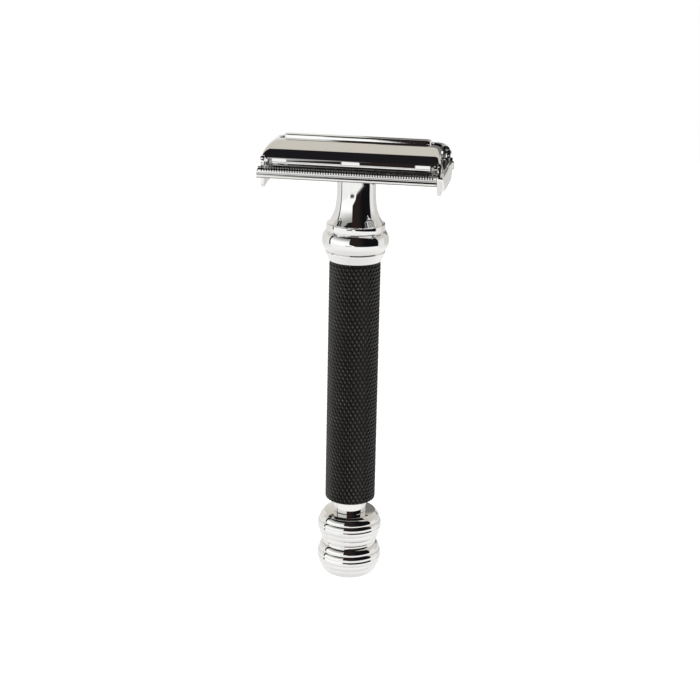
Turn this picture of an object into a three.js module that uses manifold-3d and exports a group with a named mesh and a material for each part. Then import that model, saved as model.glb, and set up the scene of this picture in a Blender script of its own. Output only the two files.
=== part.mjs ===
// Twist-to-open double-edge safety razor.
// Millimetres, +Z up along the handle, X along the blade, -Y towards the front door.
// The origin is the centre of the knob's flat bottom. The doors are closed at rest.

import * as THREE from 'three';
import { mergeVertices } from 'three/addons/utils/BufferGeometryUtils.js';
import Module from 'manifold-3d';

const wasm = await Module();
wasm.setup();

// ---- driving dimensions ----

const ROUND = 32;                    // facets round a large turned part
const SMALL = 16;                    // facets round a pin, rod or ring
const FIT = 0.05;                    // gap between two pieces that are fixed together
const RUN = 0.1;                     // gap between two pieces that move on each other

// Handle
const TUBE = { bottom: 19.6, top: 80.95, outer: 6.2, inner: 4.95, edge: 0.6 };
const NECK = { spigotBottom: 72, top: 103.35, radius: 4.63, bore: 3 };
const YOKE_SLOT = { halfWidth: 2.2, bottom: 99.8 };

// Knob and drive screw
const KNOB = { foot: 5.2, bead: 7.95, waist: 6.7, top: 16.4, topRadius: 6.2, bore: 3.4, boreBottom: 5 };
const STEM = { radius: 4.1, spigot: 3.3, bottom: 5.3, shoulder: 16.45, step: 28, top: 33, neck: 3.6 };
const STEM_GROOVE = { bottom: 29.25, top: 30.05, radius: 3.15 };
const STEM_BORE = { radius: 3, bottom: 8 };
const DRIVE_NUT = { bottom: 22, top: 32, outer: 2.95, inner: 2.2 };
const SCREW = { bottom: 20.4, top: 34.8, crest: 2.1, root: 1.75, lead: 1.6 };
const LIFT = 2.6;                    // travel of the lifter when the doors open fully
const ROD = { radius: 1.6, top: 99.95, spigot: 1.1, spigotTop: 101.1 };

// Head
const HEAD_HALF = 21.8;              // half length of the head; each guard bar reaches it at one end
const GUARD_HALF = 20.2;             // where each guard bar stops at its other end
const BAR_INNER = 10.45;             // the guard bars lie outside this distance from the middle
const TRAY_HALF = 18.5;              // half length of the tray and of the blade's cutting edges
const FLOOR = { bottom: 103.4, top: 104.2 };
const RIDGE = { inner: 8.2, outer: 9.2, top: 104.87 };
const TOOTH = { pitch: 0.605, gap: 0.29, count: 72, root: 103.7, top: 104.7, endMargin: 0.35 };
const LATHER_SLOT = { length: 9, spacing: 12.4, inner: 9.55, outer: 10.55 };

const BLADE = { halfLength: 21.5, halfWidth: 11, tab: 5.8, bottom: 104.9, thickness: 0.1 };
const BLADE_SLOT = { halfLength: 18.3, halfWidth: 1.4, centre: 2.6 };

const END_PLATE = { inner: 20.3, step: 21.1, bottom: 98.9, tabTop: 104.85 };

// Doors. Each turns about a hinge line along X near its outer lip.
const HINGE = { y: 9.6, z: 106.2, pin: 0.38, hole: 0.44, boss: 0.8 };
const DOOR = { innerEdge: 1.45, centreY: 0.9, centreZ: 105.7, a: 9.6, b: 4.1, wall: 0.8 };
const DOOR_END = { lip: 20.2, top: 19, slopeFrom: 106.6, slopeTo: 109.8 };
const CLAMP_RIB = { inner: 9.2, outer: 9.6, bottom: 105.12 };
const LIP_NOTCH = { length: 4.4, spacing: 17.2, top: 106.45, depthFrom: 9.72 };
const EAR = { inner: 19.5, outer: 20.2 };

// Drive pins of the doors, and the slots of the lifter that carry them.
const SWING = THREE.MathUtils.degToRad(80);
const CRANK = LIFT / (2 * Math.sin(SWING / 2));
const DRIVE = {
  y: HINGE.y - CRANK * Math.cos(SWING / 2),
  z: HINGE.z - CRANK * Math.sin(SWING / 2),
  pin: 0.35,
  boss: 0.7,
};
const FORK = { inner: 18.7, outer: 19.35, slotClearance: 0.14 };
const YOKE = { halfWidth: 2, bottom: 100, top: 100.75, crossTop: 102.2 };

// Spine between the doors
const SPINE = { halfLength: 17.5, halfWidth: 1.2, bottom: 106, top: 110.7, edge: 0.35 };
const LEG = { x: 12, halfLength: 1.6, halfWidth: 0.8 };

// ---- materials ----

function metal(color, roughness) {
  return new THREE.MeshStandardMaterial({ color, roughness, metalness: 1 });
}

const chrome = () => metal(0xd6d6d4, 0.08);
const steel = () => metal(0xb4b6b8, 0.3);
const brass = () => metal(0xb8924a, 0.3);
const bladeSteel = () => metal(0xc4c8ca, 0.18);
const blackPaint = () => new THREE.MeshStandardMaterial({ color: 0x2c2b2a, roughness: 0.45, metalness: 0.3 });

// ---- solids ----

function toSolid(geometry) {
  const bare = geometry.clone();
  bare.deleteAttribute('normal');
  bare.deleteAttribute('uv');
  const merged = mergeVertices(bare, 1e-5);
  const vertProperties = Float32Array.from(merged.attributes.position.array);
  const triVerts = Uint32Array.from(merged.index.array);
  return new wasm.Manifold(new wasm.Mesh({ numProp: 3, vertProperties, triVerts }));
}

function toGeometry(solid) {
  const mesh = solid.getMesh();
  const geometry = new THREE.BufferGeometry();
  geometry.setAttribute('position', new THREE.BufferAttribute(mesh.vertProperties, 3));
  geometry.setIndex(new THREE.BufferAttribute(mesh.triVerts, 1));
  return geometry;
}

function cut(geometry, cutters) {
  let solid = toSolid(geometry);
  for (const cutter of cutters) solid = solid.subtract(toSolid(cutter));
  return toGeometry(solid);
}

function join(geometries) {
  let solid = toSolid(geometries[0]);
  for (const other of geometries.slice(1)) solid = solid.add(toSolid(other));
  return toGeometry(solid);
}

// A box between two corners.
function block(x0, x1, y0, y1, z0, z1) {
  const geometry = new THREE.BoxGeometry(x1 - x0, y1 - y0, z1 - z0);
  return geometry.translate((x0 + x1) / 2, (y0 + y1) / 2, (z0 + z1) / 2);
}

// A profile of [radius, z] points turned about Z. It starts and ends on the axis or closes on itself.
function turn(points, facets = ROUND) {
  const profile = points.map(([radius, z]) => new THREE.Vector2(radius, z));
  return new THREE.LatheGeometry(profile, facets).rotateX(Math.PI / 2).rotateZ(Math.PI / facets);
}

function ring(inner, outer, bottom, top, facets = SMALL) {
  return turn([[inner, bottom], [outer, bottom], [outer, top], [inner, top], [inner, bottom]], facets);
}

// A rod along Z.
function rod(radius, bottom, top, facets = SMALL) {
  return turn([[0, bottom], [radius, bottom], [radius, top], [0, top]], facets);
}

// A pin along X through the point (y, z).
function pinAlongX(radius, x0, x1, y, z, facets = SMALL) {
  return rod(radius, x0, x1, facets).rotateY(Math.PI / 2).translate(0, y, z);
}

// An outline in the YZ plane made into a plate between two places along X.
function plateAlongX(outline, x0, x1, curveSegments = 6) {
  const shape = outline instanceof THREE.Shape ? outline : polygon(outline);
  const geometry = new THREE.ExtrudeGeometry(shape, { depth: x1 - x0, bevelEnabled: false, curveSegments });
  const yAxis = new THREE.Vector3(0, 1, 0);
  const zAxis = new THREE.Vector3(0, 0, 1);
  const xAxis = new THREE.Vector3(1, 0, 0);
  return geometry.applyMatrix4(new THREE.Matrix4().makeBasis(yAxis, zAxis, xAxis)).translate(x0, 0, 0);
}

// An outline in the XY plane made into a plate between two heights.
function plateAlongZ(shape, z0, z1, curveSegments = 6) {
  const options = { depth: z1 - z0, bevelEnabled: false, curveSegments };
  return new THREE.ExtrudeGeometry(shape, options).translate(0, 0, z0);
}

function polygon(points) {
  return new THREE.Shape(points.map(([u, v]) => new THREE.Vector2(u, v)));
}

// The half outline for y >= 0, from the middle out and back, mirrored to the whole.
function mirrored(half) {
  const other = half.filter(([y]) => y > 0).map(([y, z]) => [-y, z]).reverse();
  return [...half, ...other];
}

function stadium(halfLength, halfWidth) {
  const straight = halfLength - halfWidth;
  const shape = new THREE.Shape();
  shape.moveTo(-straight, -halfWidth);
  shape.lineTo(straight, -halfWidth);
  shape.absarc(straight, 0, halfWidth, -Math.PI / 2, Math.PI / 2, false);
  shape.lineTo(-straight, halfWidth);
  shape.absarc(-straight, 0, halfWidth, Math.PI / 2, 1.5 * Math.PI, false);
  return shape;
}

// Points of a smooth curve through the given [radius, z] points.
function smooth(points, steps) {
  const curve = new THREE.SplineCurve(points.map(([r, z]) => new THREE.Vector2(r, z)));
  return curve.getPoints(steps).map((p) => [p.x, p.y]);
}

// The mirror image in the YZ plane, with its faces turned to point out again.
function mirroredInX(geometry) {
  const image = geometry.clone().scale(-1, 1, 1);
  return image.setIndex(new THREE.BufferAttribute(geometry.index.array.slice().reverse(), 1));
}

function part(name, geometry, material) {
  const mesh = new THREE.Mesh(geometry, material);
  mesh.name = name;
  return mesh;
}

// ---- handle ----

function handleTube() {
  const { bottom, top, outer, inner, edge } = TUBE;
  const lowerEdge = [[outer - edge, bottom], [outer - 0.3 * edge, bottom + 0.3 * edge], [outer, bottom + edge]];
  return turn([[inner, bottom], ...lowerEdge, [outer, top], [inner, top], [inner, bottom]]);
}

function neckCollar() {
  const spigot = TUBE.inner - FIT;
  const skirt = [[6.35, 81], [6.6, 81.7], [7.1, 82.7], [7.25, 83.2], [7.05, 83.35]];
  const bulge = smooth([[7.2, 83.5], [7.9, 84.6], [8.07, 85.7], [7.95, 86.9], [7.25, 88.2]], 8);
  const band = [[6.85, 88.3], [7.05, 88.5], [7.05, 90]];
  const flare = smooth([[6.6, 90.1], [5.72, 91.6], [5, 93.5], [4.76, 95.4], [NECK.radius, 97.5]], 7);
  const outside = [[spigot, NECK.spigotBottom], [spigot, 81], ...skirt, ...bulge, ...band, ...flare];
  const inside = [[NECK.radius, NECK.top], [NECK.bore, NECK.top], [NECK.bore, NECK.spigotBottom]];
  const body = turn([...outside, ...inside, outside[0]]);
  const reach = NECK.radius + 1;
  const { halfWidth, bottom } = YOKE_SLOT;
  const slot = block(-reach, reach, -halfWidth, halfWidth, bottom, NECK.top + 1);
  return cut(body, [slot]);
}

function guideBush() {
  return ring(ROD.radius + RUN, NECK.bore - FIT, 88, 98);
}

function stemBush() {
  return ring(STEM.radius + RUN, TUBE.inner - FIT, TUBE.bottom + 0.3, STEM.step - RUN, ROUND);
}

function thrustWasher() {
  return ring(STEM.neck + RUN, TUBE.inner - FIT - 0.2, STEM.step + 0.1, STEM.step + 0.55);
}

// ---- knob ----

function knob() {
  const foot = [[KNOB.foot, 0], [6.1, 0.25], [6.45, 0.75]];
  const lowerBead = smooth([[6.7, 1.2], [7.55, 3], [KNOB.bead, 4.8], [7.6, 6.6], [KNOB.waist, 8.65]], 8);
  const upperBead = smooth([[6.75, 8.9], [7.5, 10.9], [KNOB.bead, 13], [7.6, 14.6], [6.75, 16.1]], 8);
  const outside = [[0, 0], ...foot, ...lowerBead, ...upperBead, [KNOB.topRadius, KNOB.top]];
  const inside = [[KNOB.bore, KNOB.top], [KNOB.bore, KNOB.boreBottom], [0, KNOB.boreBottom]];
  return turn([...outside, ...inside]);
}

function knobStem() {
  const low = [[0, STEM.bottom], [STEM.spigot, STEM.bottom], [STEM.spigot, STEM.shoulder]];
  const middle = [[STEM.radius, STEM.shoulder], [STEM.radius, STEM.step - 0.2], [STEM.neck, STEM.step - 0.2]];
  const groove = [
    [STEM.neck, STEM_GROOVE.bottom],
    [STEM_GROOVE.radius, STEM_GROOVE.bottom],
    [STEM_GROOVE.radius, STEM_GROOVE.top],
    [STEM.neck, STEM_GROOVE.top],
  ];
  const bore = [[STEM.neck, STEM.top], [STEM_BORE.radius, STEM.top], [STEM_BORE.radius, STEM_BORE.bottom]];
  return turn([...low, ...middle, ...groove, ...bore, [0, STEM_BORE.bottom]], ROUND);
}

function driveNut() {
  return ring(DRIVE_NUT.inner, DRIVE_NUT.outer, DRIVE_NUT.bottom, DRIVE_NUT.top);
}

// A wave washer: a thin ring whose height follows three waves.
function waveSpring() {
  const low = STEM.step + 0.7;
  const wave = 0.1;
  const geometry = ring(STEM.neck + RUN, 4.5, low + wave, low + wave + 0.2, 24);
  const position = geometry.attributes.position;
  for (let i = 0; i < position.count; i += 1) {
    const angle = Math.atan2(position.getY(i), position.getX(i));
    position.setZ(i, position.getZ(i) + wave * Math.sin(3 * angle));
  }
  return geometry;
}

function retainingRing() {
  const thickness = STEM_GROOVE.top - STEM_GROOVE.bottom - RUN;
  const bottom = STEM_GROOVE.bottom + RUN / 2;
  const whole = ring(STEM_GROOVE.radius + FIT, 4.4, bottom, bottom + thickness, 24);
  return cut(whole, [block(0, 6, -1, 1, bottom - 1, bottom + 2)]);
}

// ---- head, fixed pieces ----

function guardSection() {
  const bar = { y: 11.18, z: 102.52, radius: 0.62 };
  const lowerBar = [];
  for (let angle = 20; angle >= -160; angle -= 30) {
    const a = THREE.MathUtils.degToRad(angle);
    lowerBar.push([bar.y + bar.radius * Math.cos(a), bar.z + bar.radius * Math.sin(a)]);
  }
  return mirrored([
    [0, FLOOR.top],
    [RIDGE.inner, FLOOR.top],
    [RIDGE.inner, RIDGE.top],
    [RIDGE.outer, RIDGE.top],
    [9.45, 103.95],
    [10.7, 103.95],
    [10.75, TOOTH.top],
    [11.4, TOOTH.top],
    [11.75, 104.1],
    [11.75, 103.25],
    [11.6, 103.1],
    ...lowerBar,
    [10.45, 103.1],
    [9.2, 103.3],
    [8, FLOOR.bottom],
    [0, FLOOR.bottom],
  ].reverse());
}

// One comb-shaped cutter that leaves a row of teeth along a guard bar.
function toothCutter(side) {
  const half = TOOTH.pitch * TOOTH.count / 2;
  const sky = TOOTH.top + 1;
  const points = [[half + 1, sky], [-half - 1, sky], [-half - 1, TOOTH.top + 0.2]];
  for (let i = 0; i <= TOOTH.count; i += 1) {
    const x = -half + i * TOOTH.pitch;
    const end = x * side > 0 ? HEAD_HALF : GUARD_HALF;
    if (Math.abs(x) > end - TOOTH.endMargin) continue;
    const left = x - TOOTH.gap / 2;
    const right = x + TOOTH.gap / 2;
    points.push([left, TOOTH.top + 0.2], [left, TOOTH.root], [right, TOOTH.root], [right, TOOTH.top + 0.2]);
  }
  points.push([half + 1, TOOTH.top + 0.2]);
  const comb = new THREE.ExtrudeGeometry(polygon(points), { depth: 1.8, bevelEnabled: false });
  comb.rotateX(Math.PI / 2);
  return comb.translate(0, side > 0 ? 12.4 : -10.6, 0);
}

function guardPlate() {
  const body = plateAlongX(guardSection(), -HEAD_HALF, HEAD_HALF);
  const cutters = [toothCutter(1), toothCutter(-1), rod(2.3, FLOOR.bottom - 1, FLOOR.top + 1)];
  for (const side of [-1, 1]) {
    const outerX = side * (HEAD_HALF + 1);
    const [trayFrom, trayTo] = [side * TRAY_HALF, outerX].sort((a, b) => a - b);
    cutters.push(block(trayFrom, trayTo, -BAR_INNER, BAR_INNER, 100, 106));
    const [barFrom, barTo] = [side * GUARD_HALF, outerX].sort((a, b) => a - b);
    const [barNear, barFar] = [-side * 9, -side * 13].sort((a, b) => a - b);
    cutters.push(block(barFrom, barTo, barNear, barFar, 100, 106));
    const legX = side * LEG.x;
    const legReach = LEG.halfLength + 0.3;
    const legSide = LEG.halfWidth + 0.3;
    cutters.push(block(legX - legReach, legX + legReach, -legSide, legSide, 102, 106));
    for (const place of [-1, 0, 1]) {
      const x = place * LATHER_SLOT.spacing;
      const half = LATHER_SLOT.length / 2;
      const near = Math.min(side * LATHER_SLOT.inner, side * LATHER_SLOT.outer);
      const far = Math.max(side * LATHER_SLOT.inner, side * LATHER_SLOT.outer);
      cutters.push(block(x - half, x + half, near, far, 102.4, 104.5));
    }
  }
  return cut(body, cutters);
}

// The blade: a thin strip with cut corners, a long slot and a wider hole at the middle.
function blade() {
  const { halfLength, halfWidth, tab, bottom, thickness } = BLADE;
  const outline = polygon([
    [-TRAY_HALF, -halfWidth], [TRAY_HALF, -halfWidth], [TRAY_HALF, -tab], [halfLength, -tab],
    [halfLength, tab], [TRAY_HALF, tab], [TRAY_HALF, halfWidth], [-TRAY_HALF, halfWidth],
    [-TRAY_HALF, tab], [-halfLength, tab], [-halfLength, -tab], [-TRAY_HALF, -tab],
  ]);
  const strip = plateAlongZ(outline, bottom, bottom + thickness);
  const slot = plateAlongZ(stadium(BLADE_SLOT.halfLength, BLADE_SLOT.halfWidth), bottom - 1, bottom + 1);
  return cut(strip, [slot, rod(BLADE_SLOT.centre, bottom - 1, bottom + 1)]);
}

// End plate for the +X end: a cheek with a lug for each hinge pin, two low tips and a raised outer pad.
// Its rear edge stops short of the rear guard bar; its front edge stands beside the end of the front one.
function endPlate() {
  const lug = [];
  for (let angle = 0; angle <= 180; angle += 30) {
    const a = THREE.MathUtils.degToRad(angle);
    lug.push([HINGE.y + HINGE.boss * Math.cos(a), HINGE.z + HINGE.boss * Math.sin(a)]);
  }
  const cheek = plateAlongX(mirrored([
    [0, END_PLATE.bottom + 1.1],
    [5.6, END_PLATE.bottom + 1],
    [7.8, END_PLATE.bottom + 0.4],
    [9.3, END_PLATE.bottom],
    [9.9, 99.6],
    [10.7, 101],
    [11.4, 102.6],
    [11.8, 103.7],
    [11.5, 104.5],
    [10.4, 105],
    ...lug,
    [8.8, 105.1],
    [8.2, 104.5],
    [7.2, 104.5],
    [7, 105.5],
    [6.1, 105.5],
    [6, END_PLATE.tabTop],
    [0, END_PLATE.tabTop],
  ]), END_PLATE.inner, END_PLATE.step);
  const pad = plateAlongX(mirrored([
    [0, END_PLATE.bottom + 0.8],
    [6, END_PLATE.bottom + 0.85],
    [7.6, 100.4],
    [8.9, 101.4],
    [9.7, 102.6],
    [9.9, 103.6],
    [9.4, 104.1],
    [0, 104.1],
  ]), END_PLATE.step - 0.2, HEAD_HALF);
  const plate = join([cheek, pad]);
  const cutters = [-1, 1].map((side) => pinAlongX(HINGE.hole, 20, 22.5, side * HINGE.y, HINGE.z));
  cutters.push(block(20, 22.5, BAR_INNER - RUN, 13, 98, 105));
  return cut(plate, cutters);
}

function hingePin() {
  const shank = pinAlongX(HINGE.pin, EAR.inner + RUN, END_PLATE.step + 0.1, 0, 0);
  const head = pinAlongX(0.5, END_PLATE.step + FIT, END_PLATE.step + 0.2, 0, 0);
  return join([shank, head]);
}

// ---- lifter ----

function liftRod() {
  const points = [[0, SCREW.bottom], [SCREW.root, SCREW.bottom]];
  for (let z = SCREW.bottom; z < SCREW.top - 0.01; z += SCREW.lead) {
    points.push([SCREW.crest, z + 0.4 * SCREW.lead], [SCREW.crest, z + 0.6 * SCREW.lead]);
    points.push([SCREW.root, z + SCREW.lead]);
  }
  points.push([ROD.radius, SCREW.top], [ROD.radius, ROD.top], [ROD.spigot, ROD.top]);
  points.push([ROD.spigot, ROD.spigotTop], [0, ROD.spigotTop]);
  return turn(points, SMALL);
}

// The yoke: a bar along X in the slot of the neck, with an upright cross plate at each end.
function liftYoke() {
  const bar = block(-FORK.outer, FORK.outer, -YOKE.halfWidth, YOKE.halfWidth, YOKE.bottom, YOKE.top);
  const cross = mirrored([
    [0, YOKE.bottom],
    [2.5, YOKE.bottom + 0.1],
    [9, 101.9],
    [8.95, 105.95],
    [6.3, 105.95],
    [6.3, YOKE.crossTop],
    [0, YOKE.crossTop],
  ]);
  const pieces = [bar, plateAlongX(cross, FORK.inner, FORK.outer), plateAlongX(cross, -FORK.outer, -FORK.inner)];
  const pathInner = HINGE.y - CRANK;
  const slotRadius = DRIVE.pin + FORK.slotClearance;
  const cutters = [rod(ROD.spigot + FIT, YOKE.bottom - 1, YOKE.top + 1)];
  for (const side of [-1, 1]) {
    const middle = side * (pathInner + DRIVE.y) / 2;
    const halfLength = (DRIVE.y - pathInner) / 2 + slotRadius;
    const slot = plateAlongX(stadium(halfLength, slotRadius), -FORK.outer - 1, FORK.outer + 1);
    cutters.push(slot.translate(0, middle, DRIVE.z));
  }
  return cut(join(pieces), cutters);
}

function yokeNut() {
  const flats = new THREE.CylinderGeometry(2, 2, 0.8, 6).rotateX(Math.PI / 2);
  const bottom = YOKE.top + FIT;
  return cut(flats.translate(0, 0, bottom + 0.4), [rod(ROD.spigot + FIT, bottom - 1, bottom + 2)]);
}

function spineBar() {
  const { halfLength, halfWidth, bottom, top, edge } = SPINE;
  const crown = new THREE.ExtrudeGeometry(stadium(halfLength - edge, halfWidth - edge), {
    depth: top - bottom - edge,
    bevelThickness: edge,
    bevelSize: edge,
    bevelSegments: 3,
    curveSegments: 6,
  });
  crown.translate(0, 0, bottom);
  const pieces = [crown];
  for (const side of [-1, 1]) {
    const x = side * LEG.x;
    const { halfLength: reach, halfWidth: thick } = LEG;
    pieces.push(block(x - reach, x + reach, -thick, thick, YOKE.top + FIT, bottom + 1));
  }
  return join(pieces);
}

// ---- doors ----

function ellipsePoint(a, b, angle) {
  return [DOOR.centreY + a * Math.sin(angle), DOOR.centreZ + b * Math.cos(angle)];
}

// The door's section on the +Y side: an elliptic shell, a rounded lip and a rib that clamps the blade.
function doorSection() {
  const steps = 14;
  const innerSteps = 9;
  const { innerEdge, centreY, a, b, wall } = DOOR;
  const points = [];
  const start = Math.asin((innerEdge - centreY) / a);
  for (let i = 0; i <= steps; i += 1) {
    points.push(ellipsePoint(a, b, start + (Math.PI / 2 - start) * i / steps));
  }
  points.push([10.4, 105.63], [10.15, 105.58], [9.75, 105.6]);
  points.push([CLAMP_RIB.outer, CLAMP_RIB.bottom], [CLAMP_RIB.inner, CLAMP_RIB.bottom]);
  const innerA = a - wall;
  const innerStart = Math.asin((innerEdge - centreY) / innerA);
  const innerEnd = Math.asin((CLAMP_RIB.inner - centreY) / innerA);
  for (let i = innerSteps; i >= 0; i -= 1) {
    points.push(ellipsePoint(innerA, b - wall, innerStart + (innerEnd - innerStart) * i / innerSteps));
  }
  return points.reverse();
}

// An ear at each end carries the hinge hole and the drive pin.
function doorEar() {
  const web = polygon([
    [9.3, 105.5],
    [DRIVE.y + 0.45, DRIVE.z - 0.5],
    [DRIVE.y - 0.6, DRIVE.z + 0.35],
    [7, 107],
    [7.6, 108.2],
    [9.6, 107.2],
  ]);
  return join([
    plateAlongX(web, EAR.inner, EAR.outer),
    pinAlongX(HINGE.boss, EAR.inner, EAR.outer, HINGE.y, HINGE.z),
    pinAlongX(DRIVE.boss, EAR.inner, EAR.outer, DRIVE.y, DRIVE.z),
  ]);
}

function door() {
  const shell = plateAlongX(doorSection(), -DOOR_END.lip, DOOR_END.lip);
  const reliefs = [];
  for (const side of [-1, 1]) {
    const inner = Math.min(side * TRAY_HALF, side * 21);
    const outer = Math.max(side * TRAY_HALF, side * 21);
    reliefs.push(block(inner, outer, 9, 9.74, 105, 106.9));
  }
  for (const place of [-1, 0, 1]) {
    const x = place * LIP_NOTCH.spacing;
    const half = LIP_NOTCH.length / 2;
    reliefs.push(block(x - half, x + half, LIP_NOTCH.depthFrom, 11, 105, LIP_NOTCH.top));
  }
  const body = join([cut(shell, reliefs), doorEar(), mirroredInX(doorEar())]);
  const run = DOOR_END.lip - DOOR_END.top;
  const rise = DOOR_END.slopeTo - DOOR_END.slopeFrom;
  const cutters = [-1, 1].map((side) => {
    const wedge = polygon([
      [side * DOOR_END.lip, DOOR_END.slopeFrom],
      [side * (DOOR_END.top - run / 3), DOOR_END.slopeTo + rise / 3],
      [side * 23, DOOR_END.slopeTo + rise / 3],
      [side * 23, DOOR_END.slopeFrom],
    ]);
    const geometry = new THREE.ExtrudeGeometry(wedge, { depth: 14, bevelEnabled: false });
    return geometry.rotateX(Math.PI / 2).translate(0, 13, 0);
  });
  for (const side of [-1, 1]) {
    const x0 = side > 0 ? EAR.inner - 0.5 : -EAR.outer - 0.5;
    cutters.push(pinAlongX(HINGE.hole, x0, x0 + 1.8, HINGE.y, HINGE.z));
    cutters.push(pinAlongX(DRIVE.pin + 0.03, x0, x0 + 1.8, DRIVE.y, DRIVE.z));
  }
  return cut(body, cutters).translate(0, -HINGE.y, -HINGE.z);
}

function drivePin() {
  return pinAlongX(DRIVE.pin, FORK.inner - 0.05, EAR.outer, DRIVE.y - HINGE.y, DRIVE.z - HINGE.z);
}

// ---- assembly ----

function doorGroup(name, turned) {
  const leaf = new THREE.Group();
  leaf.position.set(0, HINGE.y, HINGE.z);
  leaf.add(part(`${name}_door`, door(), chrome()));
  const right = part(`${name}_drive_pin_${turned ? 'left' : 'right'}`, drivePin(), steel());
  const left = part(`${name}_drive_pin_${turned ? 'right' : 'left'}`, drivePin(), steel());
  left.position.x = -(FORK.inner - 0.05 + EAR.outer);
  leaf.add(right, left);
  const side = new THREE.Group();
  side.rotation.z = turned ? Math.PI : 0;
  side.add(leaf);
  return side;
}

function headEnd(side) {
  const name = side > 0 ? 'right' : 'left';
  const end = new THREE.Group();
  end.rotation.z = side > 0 ? 0 : Math.PI;
  end.add(part(`${name}_end_plate`, endPlate(), chrome()));
  for (const way of [-1, 1]) {
    const face = way * side > 0 ? 'rear' : 'front';
    const pin = part(`${face}_hinge_pin_${name}`, hingePin(), steel());
    pin.position.set(0, way * HINGE.y, HINGE.z);
    end.add(pin);
  }
  return end;
}

const handle = new THREE.Group();
handle.add(
  part('handle_tube', handleTube(), blackPaint()),
  part('neck_collar', neckCollar(), chrome()),
  part('guide_bush', guideBush(), brass()),
  part('stem_bush', stemBush(), brass()),
  part('thrust_washer', thrustWasher(), steel()),
  part('guard_plate', guardPlate(), chrome()),
  part('blade', blade(), bladeSteel()),
  headEnd(-1),
  headEnd(1),
);

const knobBody = new THREE.Group();
knobBody.add(
  part('knob', knob(), chrome()),
  part('knob_stem', knobStem(), chrome()),
  part('drive_nut', driveNut(), brass()),
  part('wave_spring', waveSpring(), steel()),
  part('retaining_ring', retainingRing(), steel()),
);

const lifter = new THREE.Group();
lifter.add(
  part('lift_rod', liftRod(), steel()),
  part('lift_yoke', liftYoke(), steel()),
  part('yoke_nut', yokeNut(), steel()),
  part('spine_bar', spineBar(), chrome()),
);

const razor = new THREE.Group();
razor.add(handle, knobBody, lifter, doorGroup('front', true), doorGroup('rear', false));

export default razor;
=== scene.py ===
import math

import bmesh
import bpy
from mathutils import Matrix, Vector

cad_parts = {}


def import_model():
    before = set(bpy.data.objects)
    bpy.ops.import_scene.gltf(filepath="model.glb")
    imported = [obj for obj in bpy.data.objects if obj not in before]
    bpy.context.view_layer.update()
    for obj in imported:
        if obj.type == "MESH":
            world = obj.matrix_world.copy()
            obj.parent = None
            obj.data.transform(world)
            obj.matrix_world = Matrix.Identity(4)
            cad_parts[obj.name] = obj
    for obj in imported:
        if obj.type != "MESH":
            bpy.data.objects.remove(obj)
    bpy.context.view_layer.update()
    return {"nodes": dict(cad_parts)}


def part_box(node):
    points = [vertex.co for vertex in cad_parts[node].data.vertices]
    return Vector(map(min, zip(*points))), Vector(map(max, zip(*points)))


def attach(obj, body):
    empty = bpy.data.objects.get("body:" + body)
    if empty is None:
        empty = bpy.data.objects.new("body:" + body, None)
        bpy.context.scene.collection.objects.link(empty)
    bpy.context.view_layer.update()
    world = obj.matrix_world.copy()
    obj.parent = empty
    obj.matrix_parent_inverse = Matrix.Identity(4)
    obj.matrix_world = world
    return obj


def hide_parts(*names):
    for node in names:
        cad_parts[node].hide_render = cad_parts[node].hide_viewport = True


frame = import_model()

MM = 0.001
TURN_STEPS = 144          # steps round a large turned part


# ---- mesh helpers: all outlines are in millimetres ----

def make_object(name, verts, faces):
    mesh = bpy.data.meshes.new(name)
    mesh.from_pydata([tuple(c * MM for c in v) for v in verts], [], faces)
    obj = bpy.data.objects.new(name, mesh)
    bpy.context.scene.collection.objects.link(obj)
    clean(obj)
    return obj


def clean(obj):
    work = bmesh.new()
    work.from_mesh(obj.data)
    bmesh.ops.remove_doubles(work, verts=work.verts, dist=1e-7)
    bmesh.ops.dissolve_degenerate(work, edges=work.edges, dist=1e-8)
    bmesh.ops.recalc_face_normals(work, faces=work.faces)
    work.to_mesh(obj.data)
    work.free()


def shade(obj, angle=32):
    obj.data.shade_smooth()
    obj.data.set_sharp_from_angle(angle=math.radians(angle))


def apply_modifiers(obj):
    bpy.context.view_layer.update()
    graph = bpy.context.evaluated_depsgraph_get()
    mesh = bpy.data.meshes.new_from_object(obj.evaluated_get(graph))
    obj.modifiers.clear()
    obj.data = mesh


def boolean(obj, others, operation):
    for other in others:
        step = obj.modifiers.new("solid", "BOOLEAN")
        step.object = other
        step.operation = operation
        step.solver = "EXACT"
    apply_modifiers(obj)
    for other in others:
        bpy.data.objects.remove(other)
    clean(obj)
    return obj


def cut(obj, others):
    return boolean(obj, others, "DIFFERENCE")


def unite(obj, others):
    return boolean(obj, others, "UNION")


def soften(obj, width, segments=3, angle=40):
    """Rounds the hard edges and keeps the flat faces flat."""
    shade(obj, angle)
    bevel = obj.modifiers.new("edge", "BEVEL")
    bevel.width = width * MM
    bevel.segments = segments
    bevel.limit_method = "ANGLE"
    bevel.angle_limit = math.radians(angle)
    bevel.use_clamp_overlap = True
    weigh = obj.modifiers.new("normals", "WEIGHTED_NORMAL")
    weigh.keep_sharp = False
    weigh.weight = 90
    apply_modifiers(obj)


def rounded(points, radii, segments=5, closed=True):
    """An outline with each corner replaced by an arc of the given radius."""
    out = []
    count = len(points)
    for i, point in enumerate(points):
        radius = radii[i] if isinstance(radii, (list, tuple)) else radii
        at_end = not closed and i in (0, count - 1)
        if radius <= 0 or at_end:
            out.append(tuple(point))
            continue
        here = Vector(point)
        before = Vector(points[i - 1]) - here
        after = Vector(points[(i + 1) % count]) - here
        angle = before.angle(after)
        reach = min(radius / math.tan(angle / 2), 0.49 * before.length, 0.49 * after.length)
        start = here + before.normalized() * reach
        end = here + after.normalized() * reach
        for k in range(segments + 1):
            t = k / segments
            bend = start.lerp(here, t).lerp(here.lerp(end, t), t)
            out.append((bend.x, bend.y))
    return out


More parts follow.
